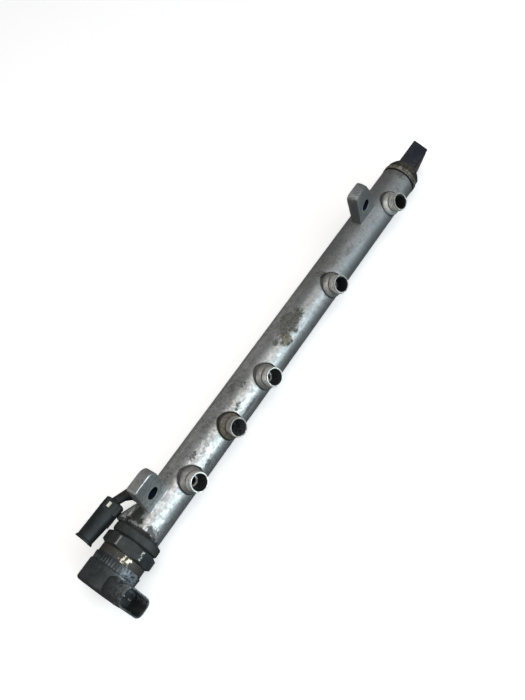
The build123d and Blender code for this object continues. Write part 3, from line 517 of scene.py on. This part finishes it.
def elbow_plastic():
    k = Look("elbow_plastic_used")
    a = k.noise(0.10, 4.0, 0.55)
    b = k.noise(1.5, 4.0, 0.6)
    color = k.mix(k.step(a, 0.3, 0.7), (0.008, 0.011, 0.012), (0.015, 0.020, 0.021))
    dust = k.math("MULTIPLY", k.step(k.noise(0.45, 6.0, 0.7), 0.50, 0.68), k.math("MULTIPLY", k.facing((0.0, 0.2, 0.98)), 0.30))
    arm = k.step(k.x, -151.0, -146.0)
    dust = k.math("ADD", dust, k.math("MULTIPLY", k.math("MULTIPLY", arm, k.facing((0.0, 0.75, 0.66))), k.step(k.noise(0.6, 5.0), 0.35, 0.65, 0.05, 0.40)))
    color = k.mix(dust, color, (0.060, 0.061, 0.055))
    rough = k.fmix(dust, k.step(b, 0.3, 0.75, 0.46, 0.60), 0.74)
    return k.finish(color, rough, 0.0, k.bump(b, 0.035, 0.8), Specular_IOR_Level=0.36)


def connector_plastic():
    k = Look("sensor_connector_plastic")
    a = k.noise(0.14, 4.0, 0.55)
    b = k.noise(1.8, 4.0, 0.6)
    color = k.mix(k.step(a, 0.3, 0.7), (0.0075, 0.0095, 0.0145), (0.014, 0.017, 0.024))
    lock = k.step(k.math("ADD", k.math("MULTIPLY", k.y, -0.891), k.math("MULTIPLY", k.z, -0.454)), 19.0, 20.5)
    tone = k.mix(k.noise(0.8, 5.0), (0.030, 0.026, 0.018), (0.075, 0.066, 0.050))
    color = k.mix(k.math("MULTIPLY", lock, 0.8), color, tone)
    dust = k.math("MULTIPLY", k.step(k.noise(0.6, 6.0, 0.7), 0.50, 0.68), k.step(k.x, 212.0, 200.0))
    color = k.mix(k.math("MULTIPLY", dust, 0.55), color, (0.060, 0.055, 0.045))
    worn = k.math("MULTIPLY", k.edges(0.53, 0.60), k.step(k.noise(0.5, 4.0), 0.40, 0.58))
    color = k.mix(k.math("MULTIPLY", worn, 0.35), color, (0.10, 0.10, 0.10))
    rough = k.step(b, 0.3, 0.75, 0.52, 0.66)
    return k.finish(color, rough, 0.0, k.bump(b, 0.03, 0.8), Specular_IOR_Level=0.25)


def sensor_steel():
    k = Look("sensor_steel_used")
    r, th = k.polar()
    a = k.noise(0.22, 5.0, 0.6)
    b = k.noise(1.1, 5.0, 0.65)
    color = k.mix(k.step(a, 0.38, 0.62), (0.13, 0.12, 0.095), (0.46, 0.44, 0.385))
    color = k.mix(k.math("MULTIPLY", k.step(b, 0.50, 0.62), 0.6), color, (0.05, 0.043, 0.032))
    # rust and old oil on the hexagon, behind the round flange
    rust = k.math("MULTIPLY", k.step(k.x, 187.9, 188.7), k.step(k.noise(0.5, 5.0, 0.65), 0.18, 0.42))
    tone = k.ramp(k.noise(0.8, 6.0, 0.66), [(0.38, (0.008, 0.0065, 0.0045)), (0.56, (0.022, 0.018, 0.013)), (0.72, (0.085, 0.070, 0.050))])
    color = k.mix(k.math("MULTIPLY", rust, 0.94), color, tone)
    root = k.step(k.x, 185.1, 184.4)
    color = k.mix(k.math("MULTIPLY", root, 0.9), color, (0.010, 0.009, 0.008))
    rough = k.fmix(rust, k.step(b, 0.3, 0.75, 0.40, 0.55), 0.66)
    return k.finish(color, rough, k.fmix(rust, 0.75, 0.2), k.bump(b, 0.07, 0.9), Specular_IOR_Level=0.4)


def small_plastic(name, dark, light, rough=0.45, grain=1.5):
    k = Look(name)
    a = k.noise(0.25, 4.0, 0.55)
    b = k.noise(grain, 4.0, 0.6)
    color = k.mix(k.step(a, 0.3, 0.7), dark, light)
    return k.finish(color, k.step(b, 0.3, 0.75, rough - 0.08, rough + 0.1), 0.0, k.bump(b, 0.015, 0.6))


def windings():
    k = Look("enamelled_copper_wire")
    r, _ = k.polar()
    turn = k.math("SINE", k.math("MULTIPLY", k.x, 2.0 * math.pi / 0.42))
    a = k.noise(0.6, 4.0)
    color = k.mix(k.step(a, 0.3, 0.7), (0.42, 0.13, 0.045), (0.62, 0.24, 0.09))
    color = k.mix(k.step(turn, -0.3, -0.9), color, (0.10, 0.03, 0.012))
    return k.finish(color, k.step(a, 0.3, 0.7, 0.22, 0.36), 0.9, k.bump(turn, 0.08, 0.8))


def circuit():
    k = Look("circuit_board")
    a = k.noise(0.5, 4.0)
    pads = k.step(k.voronoi(0.45, randomness=0.7), 0.26, 0.20)
    color = k.mix(k.step(a, 0.3, 0.7), (0.01, 0.075, 0.03), (0.015, 0.11, 0.045))
    color = k.mix(pads, color, (0.62, 0.6, 0.5))
    return k.finish(color, k.fmix(pads, 0.4, 0.25), pads, k.bump(pads, 0.03, 0.7))


MATERIAL = {
    "forged_steel": forged_steel(),
    "nut_steel": nut_steel(),
    "valve_steel": plain_metal("valve_steel_turned", (0.42, 0.42, 0.41), (0.56, 0.56, 0.55), (0.25, 0.4), rings=-0.8),
    "hard_steel": plain_metal("hardened_steel_ground", (0.50, 0.50, 0.51), (0.64, 0.64, 0.65), (0.14, 0.24), depth=0.006),
    "magnet_steel": magnet_steel(),
    "sensor_steel": sensor_steel(),
    "nipple_steel": plain_metal("nipple_steel_used", (0.24, 0.23, 0.21), (0.38, 0.37, 0.34), (0.36, 0.55), grime=0.8),
    "elbow_plastic": elbow_plastic(),
    "retainer_plastic": small_plastic("retainer_cream", (0.70, 0.66, 0.52), (0.84, 0.81, 0.70), 0.42),
    "bobbin_plastic": small_plastic("bobbin_glass_filled", (0.05, 0.05, 0.05), (0.09, 0.088, 0.08), 0.5),
    "coil_copper": windings(),
    "seal_rubber": small_plastic("seal_rubber_black", (0.012, 0.012, 0.012), (0.022, 0.022, 0.021), 0.6),
    "backup_plastic": small_plastic("backup_ring_white", (0.72, 0.71, 0.68), (0.84, 0.83, 0.80), 0.5),
    "terminal_metal": plain_metal("terminal_tinned", (0.62, 0.61, 0.56), (0.80, 0.79, 0.75), (0.2, 0.34), depth=0.008),
    "board": circuit(),
}
CAP = cap_plastic()
CONNECTOR = connector_plastic()
BY_NODE = {"valve_cap": CAP, "sensor_connector": CONNECTOR}
SLOTS = {}
for sub in frame["record"].get("materials", []):
    SLOTS[sub.get("slot")] = sub


def dress(obj, material):
    obj.data.materials.clear()
    obj.data.materials.append(material)


SLOT_OF = {}
for name, obj in NODES.items():
    slot = obj.data.materials[0].name if obj.data.materials else "forged_steel"
    SLOT_OF[name] = slot.split(".")[0]
    dress(obj, BY_NODE.get(name) or MATERIAL[SLOT_OF[name]])


# ---------------------------------------------------------------- refined rail
def port_polar(co, px):
    """(height along the connection's axis from the rail's axis, distance from the connection's axis), mm arrays."""
    d = np.array(radial(PORT_TH))
    rel = co - np.array([px, AXIS_Y, AXIS_Z])
    h = rel @ d
    out = rel - h[:, None] * d
    return h, np.sqrt((out ** 2).sum(1))


def rail_polar(co):
    dy = AXIS_Y - co[:, 1]
    dz = co[:, 2] - AXIS_Z
    return np.hypot(dy, dz), np.degrees(np.arctan2(dy, dz))


def slice_outside(bm, step_x, step_th):
    """Cuts the rail's round outside into small panels, so that it can carry forged unevenness as geometry."""

    def outside():
        keep = []
        for f in bm.faces:
            c = f.calc_center_median()
            dy, dz = AXIS_Y - c.y, c.z - AXIS_Z
            r = math.hypot(dy, dz)
            if 13.2 < r < 13.72 and abs(f.normal.x) < 0.2:
                if (-f.normal.y * dy + f.normal.z * dz) / max(r, 1e-6) > 0.96:
                    keep.append(f)
        return keep

    def cut(faces, point, normal):
        geom = set(faces)
        for f in faces:
            geom.update(f.edges)
            geom.update(f.verts)
        bmesh.ops.bisect_plane(bm, geom=list(geom), dist=1e-4, plane_co=point, plane_no=normal)

    for i in range(int(180 / step_th)):
        a = i * step_th
        cut(outside(), AXIS_POINT, around(a + 0.37))
    # halves first, so that each later cut has few panels to look at
    faces = outside()
    lo, hi = -154.0, 183.0
    n = int((hi - lo) / step_x)
    xs = [lo + (hi - lo) * i / n for i in range(1, n)]
    strips = {}
    for f in faces:
        v = [q.co.x for q in f.verts]
        strips[f] = (min(v), max(v))
    for x in xs:
        crossed = [f for f in bm.faces if f in strips and strips[f][0] < x - 1e-4 and strips[f][1] > x + 1e-4]
        before = set(bm.faces)
        cut(crossed, Vector((x, 0, 0)), Vector((1, 0, 0)))
        fresh = [f for f in bm.faces if f not in before] + crossed
        for f in fresh:
            if f.is_valid:
                v = [q.co.x for q in f.verts]
                strips[f] = (min(v), max(v))


def make_rail():
    src = NODES["rail_body"]
    bm = bmesh.new()
    bm.from_mesh(src.data)
    bm.transform(Matrix.Scale(1000.0, 4))
    bmesh.ops.remove_doubles(bm, verts=bm.verts, dist=0.003)
    slice_outside(bm, 1.6, 5.0)
    bm.verts.ensure_lookup_table()
    bm.normal_update()
    co = np.array([v.co[:] for v in bm.verts])
    r, th = rail_polar(co)
    # vertices whose faces all belong to the round outside
    free = np.zeros(len(co), bool)
    for v in bm.verts:
        i = v.index
        if 13.3 < r[i] < 13.75:
            out = Vector((0.0, v.co.y - AXIS_Y, v.co.z - AXIS_Z)).normalized()
            free[i] = all(f.normal.dot(out) > 0.955 for f in v.link_faces)
    # true circle instead of the flats of the tessellation
    for i in np.nonzero(free)[0]:
        v = bm.verts[i]
        d = Vector((0.0, v.co.y - AXIS_Y, v.co.z - AXIS_Z))
        k = RAIL_R / d.length
        v.co.y = AXIS_Y + d.y * k
        v.co.z = AXIS_Z + d.z * k
    # weights fall to nothing towards pockets, lugs and ends
    w = free.astype(float)
    pairs = np.array([[e.verts[0].index, e.verts[1].index] for e in bm.edges])
    for _ in range(3):
        low = w.copy()
        np.minimum.at(low, pairs[:, 0], w[pairs[:, 1]] + 0.34)
        np.minimum.at(low, pairs[:, 1], w[pairs[:, 0]] + 0.34)
        w = np.minimum(w, low)
    for i in np.nonzero(w > 0.0)[0]:
        v = bm.verts[i]
        p = v.co
        swell = noise.noise(Vector((p.x * 0.055, p.y * 0.075, p.z * 0.075)) + Vector((3.1, 0.7, 9.2)))
        lump = noise.noise(Vector((p.x * 0.20, p.y * 0.20, p.z * 0.20)) + Vector((11.0, 4.0, 2.0)))
        grit = noise.noise(Vector((p.x * 0.55, p.y * 0.55, p.z * 0.55)) + Vector((5.0, 8.0, 1.0)))
        d = Vector((0.0, v.co.y - AXIS_Y, v.co.z - AXIS_Z)).normalized()
        v.co += d * float(w[i]) * (0.05 * swell + 0.035 * lump + 0.018 * grit)
    # pits and the curled scar, each a real hollow
    marks = [(-113.9, -15.2, 0.55, 0.30), (-113.2, -5.8, 0.6, 0.34), (-116.1, -8.2, 0.6, 0.34), (-52.9, 38.0, 0.6, 0.3)]
    scar = [(-66.2, 9.5), (-64.8, 11.0), (-63.2, 14.5), (-62.4, 19.5), (-62.8, 25.0), (-64.4, 28.0)]
    hollow = [(x, t, s, d) for x, t, s, d in marks] + [(x, t, 0.55, 0.18) for x, t in scar]
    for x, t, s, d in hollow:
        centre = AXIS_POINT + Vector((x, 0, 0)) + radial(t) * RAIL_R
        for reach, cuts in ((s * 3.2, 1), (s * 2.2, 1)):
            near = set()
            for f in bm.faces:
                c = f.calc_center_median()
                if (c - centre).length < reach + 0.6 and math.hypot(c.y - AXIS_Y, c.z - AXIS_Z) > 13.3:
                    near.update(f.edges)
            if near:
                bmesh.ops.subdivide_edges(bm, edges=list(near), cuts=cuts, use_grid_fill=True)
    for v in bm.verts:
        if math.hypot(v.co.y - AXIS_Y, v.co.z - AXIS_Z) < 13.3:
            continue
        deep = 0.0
        for x, t, s, d in hollow:
            centre = AXIS_POINT + Vector((x, 0, 0)) + radial(t) * RAIL_R
            q = (v.co - centre).length / s
            if q < 3.0:
                deep = max(deep, d * math.exp(-q * q))
        if deep:
            out = Vector((0.0, v.co.y - AXIS_Y, v.co.z - AXIS_Z)).normalized()
            v.co -= out * deep
    # the necks give up their thread depth here; the turns are put back as geometry below
    bm.verts.ensure_lookup_table()
    co = np.array([v.co[:] for v in bm.verts])
    d = radial(PORT_TH)
    for px in PORTS:
        h, q = port_polar(co, px)
        for i in np.nonzero((q > 6.9) & (q < 7.05) & (h > 17.3) & (h < 23.0))[0]:
            v = bm.verts[i]
            foot = Vector((px, AXIS_Y, AXIS_Z)) + d * float(h[i])
            v.co = foot + (v.co - foot) * (6.58 / float(q[i]))
    bmesh.ops.triangulate(bm, faces=[f for f in bm.faces if len(f.verts) > 4])
    bm.transform(Matrix.Scale(MM, 4))
    me = bpy.data.meshes.new("rail_forging")
    bm.to_mesh(me)
    bm.free()
    obj = bpy.data.objects.new("rail_forging", me)
    SCENE.collection.objects.link(obj)
    me.shade_smooth()
    me.set_sharp_from_angle(angle=math.radians(24))
    wn = obj.modifiers.new("flat_faces", "WEIGHTED_NORMAL")
    wn.keep_sharp = True
    wn.weight = 60
    dress(obj, MATERIAL["forged_steel"])
    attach(obj, "rail")
    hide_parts("rail_body")
    return obj


def make_thread(i, px):
    """One external thread on a pipe connection: a helical ridge with run-out at both ends."""
    lo, hi, pitch = 17.15, 23.05, 1.5
    root, crest = 6.50, 7.0
    up = radial(PORT_TH)
    e1 = Vector((1.0, 0.0, 0.0))
    e2 = up.cross(e1)
    per = 56
    turns = (hi - lo - 0.9) / pitch
    n = int(turns * per)
    profile = [(-0.62, 0.0), (-0.16, 1.0), (0.16, 1.0), (0.62, 0.0), (0.0, -0.35)]
    verts, faces = [], []
    base = Vector((px, AXIS_Y, AXIS_Z))
    for k in range(n + 1):
        a = 2.0 * math.pi * k / per + i * 1.3
        h = lo + 0.45 + pitch * k / per
        grow = min(1.0, k / (0.22 * per), (n - k) / (0.22 * per))
        worn = 1.0 - 0.16 * max(0.0, noise.noise(Vector((k * 0.11, i * 3.0, 0.5))))
        out = e1 * math.cos(a) + e2 * math.sin(a)
        for dh, q in profile:
            rr = root + (crest - root) * q * (grow * worn if q > 0 else 1.0)
            verts.append((base + up * (h + dh * (0.4 + 0.6 * grow)) + out * rr) * MM)
    m = len(profile)
    for k in range(n):
        for j in range(m):
            a, b = k * m + j, k * m + (j + 1) % m
            faces.append((a, b, b + m, a + m))
    faces.append(tuple(range(m)))
    faces.append(tuple(reversed(range(n * m, n * m + m))))
    me = bpy.data.meshes.new(f"pipe_thread_{i}")
    me.from_pydata([tuple(v) for v in verts], [], faces)
    me.validate()
    bm = bmesh.new()
    bm.from_mesh(me)
    bmesh.ops.recalc_face_normals(bm, faces=bm.faces)
    bm.to_mesh(me)
    bm.free()
    me.shade_smooth()
    me.set_sharp_from_angle(angle=math.radians(50))
    obj = bpy.data.objects.new(f"pipe_thread_{i}", me)
    SCENE.collection.objects.link(obj)
    dress(obj, MATERIAL["forged_steel"])
    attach(obj, "rail")
    return obj


make_rail()
for i, px in enumerate(PORTS, 1):
    make_thread(i, px)


# ---------------------------------------------------------------- floor, light, camera
def floor():
    z = CAD_LO.z - 0.0006
    bm = bmesh.new()
    bmesh.ops.create_grid(bm, x_segments=24, y_segments=24, size=3.0)
    for v in bm.verts:
        v.co.z = z
    me = bpy.data.meshes.new("floor")
    bm.to_mesh(me)
    bm.free()
    obj = bpy.data.objects.new("floor", me)
    SCENE.collection.objects.link(obj)
    k = Look("floor_pale")
    n = k.noise(0.01, 2.0)
    k.finish(k.mix(n, (0.86, 0.86, 0.86), (0.88, 0.88, 0.88)), 0.9, 0.0, Specular_IOR_Level=0.1)
    k.bsdf.inputs["Emission Color"].default_value = (1.0, 1.0, 1.0, 1.0)
    k.bsdf.inputs["Emission Strength"].default_value = 0.42
    dress(obj, k.mat)
    obj.visible_glossy = False
    obj.visible_diffuse = False
    obj.visible_shadow = False
    return obj


def area(name, place, target, size, power, color, glossy=True):
    data = bpy.data.lights.new(name, "AREA")
    data.shape = "RECTANGLE"
    data.size, data.size_y = size
    data.energy = power
    data.color = color
    obj = bpy.data.objects.new(name, data)
    SCENE.collection.objects.link(obj)
    obj.location = place
    obj.rotation_mode = "QUATERNION"
    obj.rotation_quaternion = (Vector(target) - Vector(place)).to_track_quat("-Z", "Y")
    obj.visible_glossy = glossy
    return obj


floor()
area("key_front", (0.03, -1.037, 0.351), (0.0, 0.0, -0.025), (1.0, 0.60), 9.4, (0.76, 0.92, 1.0))
area("soft_above", (0.10, -0.614, 1.123), (0.06, 0.0, -0.025), (1.2, 0.95), 6.2, (1.0, 0.975, 0.955))
area("soft_left", (-1.2, 0.15, 0.95), (0.0, 0.0, -0.02), (0.8, 0.8), 2.6, (1.0, 0.99, 0.96))
area("soft_behind", (0.0, 1.30, 0.35), (0.0, 0.0, -0.025), (1.5, 0.9), 0.8, (0.98, 0.99, 1.0))
area("overhead", (-0.2, 0.1, 1.6), (0.0, 0.0, 0.0), (1.8, 1.8), 10.0, (1.0, 0.99, 0.97), glossy=False)

world = bpy.data.worlds.new("studio")
SCENE.world = world
world.use_nodes = True
wt = world.node_tree
bg = wt.nodes["Background"]
bg.inputs["Color"].default_value = (1.0, 0.99, 0.965, 1.0)
sky = wt.nodes.new("ShaderNodeTexCoord")
dot = wt.nodes.new("ShaderNodeVectorMath")
dot.operation = "DOT_PRODUCT"
dot.inputs[1].default_value = (0.0, -0.75, -0.66)
fade = wt.nodes.new("ShaderNodeMapRange")
fade.interpolation_type = "SMOOTHSTEP"
for i, v in enumerate((0.05, 0.65, 0.125, 0.035)):
    fade.inputs[i + 1].default_value = v
wt.links.new(sky.outputs["Generated"], dot.inputs[0])
wt.links.new(dot.outputs["Value"], fade.inputs[0])
wt.links.new(fade.outputs[0], bg.inputs["Strength"])

cam_data = bpy.data.cameras.new("camera")
cam = bpy.data.objects.new("camera", cam_data)
SCENE.collection.objects.link(cam)
cam_data.sensor_fit = "AUTO"
cam_data.sensor_width = 36.0
cam_data.lens = 40.05
cam_data.shift_x = -0.000714
cam_data.shift_y = 0.000714
cam_data.clip_start = 0.01
cam_data.clip_end = 20.0
right = Vector((0.54912335, -0.81465422, -0.18655309))
up = Vector((0.74687603, 0.3781882, 0.54694596))
back = Vector((-0.37501966, -0.43967283, 0.81611768))
m = Matrix.Identity(4)
for c, v in enumerate((right, up, back)):
    for rr in range(3):
        m[rr][c] = v[rr]
m[0][3], m[1][3], m[2][3] = -0.20941678, -0.24130737, 0.42961265
cam.matrix_world = m
SCENE.camera = cam

SCENE.view_settings.view_transform = "Standard"
SCENE.view_settings.look = "None"
SCENE.view_settings.exposure = 0.0
SCENE.view_settings.gamma = 1.0

bpy.context.view_layer.update()
